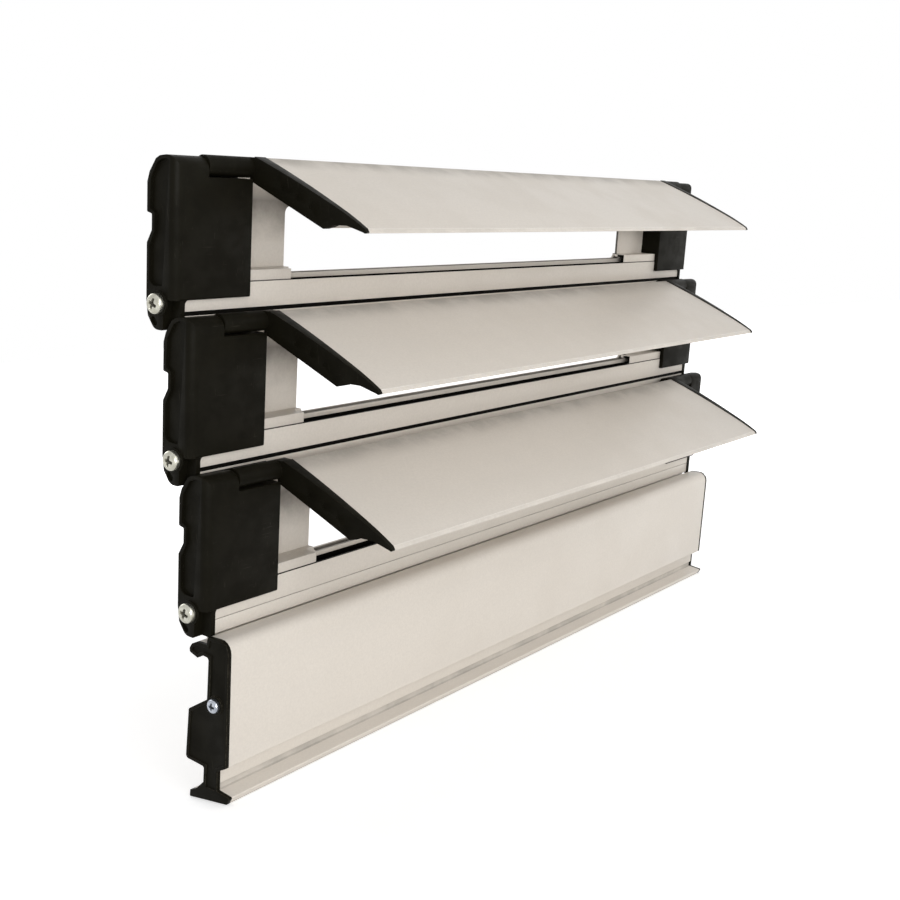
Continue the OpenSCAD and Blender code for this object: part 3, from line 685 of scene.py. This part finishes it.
def headHeight(share):
    # height of the head at a share of its radius, as a share of its full height
    flat, low, high = screwHead["flat"], screwHead["shoulder"], 1.0 - screwHead["dome"]
    if share < flat:
        return 1.0 - screwHead["dome"] * (share / flat) ** 2
    t = (share - flat) / (1 - flat)
    return low + (high - low) * math.sqrt(max(1 - t * t, 0))


def recessShare(a, b):
    # how far into the cross recess a place on the head lies, from 0 outside to 1 at its floor
    best = 0.0
    for along, across in ((abs(a), abs(b)), (abs(b), abs(a))):
        width = screwHead["wingWidth"] + screwHead["heart"] * max(0.0, screwHead["heartReach"] - along)
        side = 1 - smooth(across, width - screwHead["wallIn"], width + screwHead["wallOut"])
        end = 1 - smooth(along, screwHead["wing"] - screwHead["wingEnd"], screwHead["wing"])
        best = max(best, side * end)
    return best


def headAndShank(shape, shade, seat, spin):
    c, s = math.cos(math.radians(spin)), math.sin(math.radians(spin))
    side, low, height = seat["side"], seat["low"], seat["high"] - seat["low"]
    count, rings = screwHead["segments"], screwHead["rings"]
    turns = [2 * math.pi * k / count for k in range(count)]

    def place(reach, across, upward):
        return shape.verts.new((side * reach, seat["y"] + across, seat["z"] + upward))

    rows = []  # rings of points, each with its share of the recess, from the head's middle to the shank
    steps = [i / rings for i in range(1, rings + 1)]
    for share, level in [(t, headHeight(t)) for t in steps] + list(screwHead["rim"]):
        row = []
        for turn in turns:
            a, b = share * math.cos(turn), share * math.sin(turn)
            cut = recessShare(a, b)
            reach = low + height * (level - cut * screwHead["deep"])
            across, upward = a * c - b * s, a * s + b * c
            row.append((place(reach, seat["radius"] * across, seat["radius"] * upward), cut))
        rows.append(row)
    for reach in (low, seat["inner"]):
        shank = seat["shank"]
        rows.append([(place(reach, shank * math.cos(t), shank * math.sin(t)), 0.0) for t in turns])
    top = place(low + height * (1 - screwHead["deep"]), 0, 0)
    foot = place(seat["inner"], 0, 0)
    # painted shade: the recess floor fully, its walls by their share of the recess
    for k in range(count):
        nextK = (k + 1) % count
        mark(shape.faces.new((top, rows[0][k][0], rows[0][nextK][0])), shade, 1.0)
        mark(shape.faces.new((foot, rows[-1][nextK][0], rows[-1][k][0])), shade, 0.0)
        for outer, after in zip(rows, rows[1:]):
            corners = (outer[k], after[k], after[nextK], outer[nextK])
            face = shape.faces.new([corner[0] for corner in corners])
            for loop, corner in zip(face.loops, corners):
                loop[shade] = corner[1]


def screwSeats(node):
    # places and sizes of a node's two screws, read from its solids
    found = []
    points = [v.co for v in frame["nodes"][node].data.vertices]
    for side in (-1, 1):
        own = [p for p in points if p.x * side > 0]
        y = (max(p.y for p in own) + min(p.y for p in own)) / 2
        z = (max(p.z for p in own) + min(p.z for p in own)) / 2
        reach = [math.hypot(p.y - y, p.z - z) for p in own]
        radius = max(reach)
        low = min(abs(p.x) for p, r in zip(own, reach) if r > screwHead["rimFrom"] * radius)
        shank = max(r for p, r in zip(own, reach) if abs(p.x) < low - screwHead["shankFrom"])
        found.append({
            "side": side, "y": y, "z": z, "radius": radius, "low": low, "shank": shank,
            "high": max(abs(p.x) for p in own), "inner": min(abs(p.x) for p in own),
        })
    return found


def dressedScrews(node):
    shape = bmesh.new()
    shade = shape.loops.layers.float.new("shade")
    shape.loops.layers.float.new("wornAndHighlit")
    turns = next(angles for name, angles in screwHead["turns"].items() if name in node)
    for seat, spin in zip(screwSeats(node), turns):
        headAndShank(shape, shade, seat, spin)
    bmesh.ops.recalc_face_normals(shape, faces=shape.faces)
    return finishMesh(shape, node + "_dressed")


def dressedPlain(node, slot):
    shape = cleanCopy(node)
    roundEdges(shape, **dressing[slot])
    return finishMesh(shape, node + "_dressed")


def dressedMesh(node, slot):
    unit = node.rsplit("_", 1)[-1]
    if node.startswith("carrier_"):
        return dressedCarrier(node, units.index(unit))
    if node.startswith("blade_cap_"):
        return dressedCap(node, unit)
    if node.startswith("blade_"):
        return dressedBlade(node, unit)
    if "screws" in node:
        return dressedScrews(node)
    return dressedClosing(node) if node == "closing_profile" else dressedPlain(node, slot)


for row in frame["record"]["subparts"]:
    node, slot = row["node"], row["material_slot"]
    finish = ownFinish.get(node, finishes[slot])
    addPiece(node + "_dressed", dressedMesh(node, slot), bodyOf(node), [node], finish)


# floor, backdrop and light
stageSetup = {
    "floor": (0.86, 0.86, 0.86, 1), "floorSize": 12, "floorRoughness": 0.9, "floorDrop": 0.2 * mm,
    "lift": (0.42, 0.85), "liftEdges": (0.25, 1.1),  # near and far, edges in m from the object
    "world": 0.44,
}
lamps = {
    "front": {"place": (-0.4, -2.0, 0.85), "size": (1.8, 1.2), "power": 15, "mirrored": True},
    "fill": {"place": (-1.6, -1.9, -0.05), "size": (1.6, 0.34), "power": 28, "mirrored": True},
    "right": {"place": (1.2, -0.8, 0.5), "size": (0.9, 0.9), "power": 5.5, "mirrored": False},
    "back": {"place": (0.2, 1.2, 0.6), "size": (1.2, 0.8), "power": 7, "mirrored": True},
}


def seenWhite(tree):
    # 1 for what the eye, a mirror or glass sees directly
    path = addNode(tree, "ShaderNodeLightPath")
    seen = mathNode(tree, "ADD", path.outputs["Is Camera Ray"], path.outputs["Is Glossy Ray"])
    return mathNode(tree, "MINIMUM", mathNode(tree, "ADD", seen, path.outputs["Is Transmission Ray"]), 1.0)


def addFloor(setup):
    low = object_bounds()[0][2] - setup["floorDrop"]
    bpy.ops.mesh.primitive_plane_add(size=setup["floorSize"], location=(0, 0, low))
    floor = bpy.context.object
    floor.name = "floor"
    material, tree, shader = newMaterial("paleFloor")
    shader.inputs["Base Color"].default_value = setup["floor"]
    shader.inputs["Roughness"].default_value = setup["floorRoughness"]
    shader.inputs["Emission Color"].default_value = (1, 1, 1, 1)
    # the lift grows away from the object, so the floor ends in white and keeps the shadow under it
    coords = addNode(tree, "ShaderNodeTexCoord")
    away = addNode(tree, "ShaderNodeVectorMath", operation="LENGTH")
    tree.links.new(coords.outputs["Object"], away.inputs[0])
    lift = remap(tree, away.outputs["Value"], *setup["liftEdges"], *setup["lift"])
    tree.links.new(times(tree, seenWhite(tree), lift), shader.inputs["Emission Strength"])
    floor.data.materials.append(material)
    floor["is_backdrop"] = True


def setWorld(setup):
    world = bpy.data.worlds.new("studio")
    bpy.context.scene.world = world
    world.use_nodes = True
    tree = world.node_tree
    background = tree.nodes["Background"]
    background.inputs["Color"].default_value = (1, 1, 1, 1)
    seen = seenWhite(tree)
    unseen = times(tree, mathNode(tree, "SUBTRACT", 1.0, seen), setup["world"])
    tree.links.new(mathNode(tree, "ADD", seen, unseen), background.inputs["Strength"])


def addLamps(setup):
    middle = (cadBox[0] + cadBox[1]) / 2
    for name, values in setup.items():
        data = bpy.data.lights.new(name + "Lamp", "AREA")
        data.shape = "RECTANGLE"
        data.size, data.size_y = values["size"]
        data.energy = values["power"]
        lamp = bpy.data.objects.new(name + "Lamp", data)
        lamp.location = values["place"]
        lamp.visible_glossy = values["mirrored"]  # the right one would shine on the black fronts
        lamp.rotation_euler = (middle - lamp.location).to_track_quat("-Z", "Y").to_euler()
        bpy.context.scene.collection.objects.link(lamp)


addFloor(stageSetup)
setWorld(stageSetup)
addLamps(lamps)
bpy.context.scene.view_settings.view_transform = "Standard"
print("stage and lamps set")
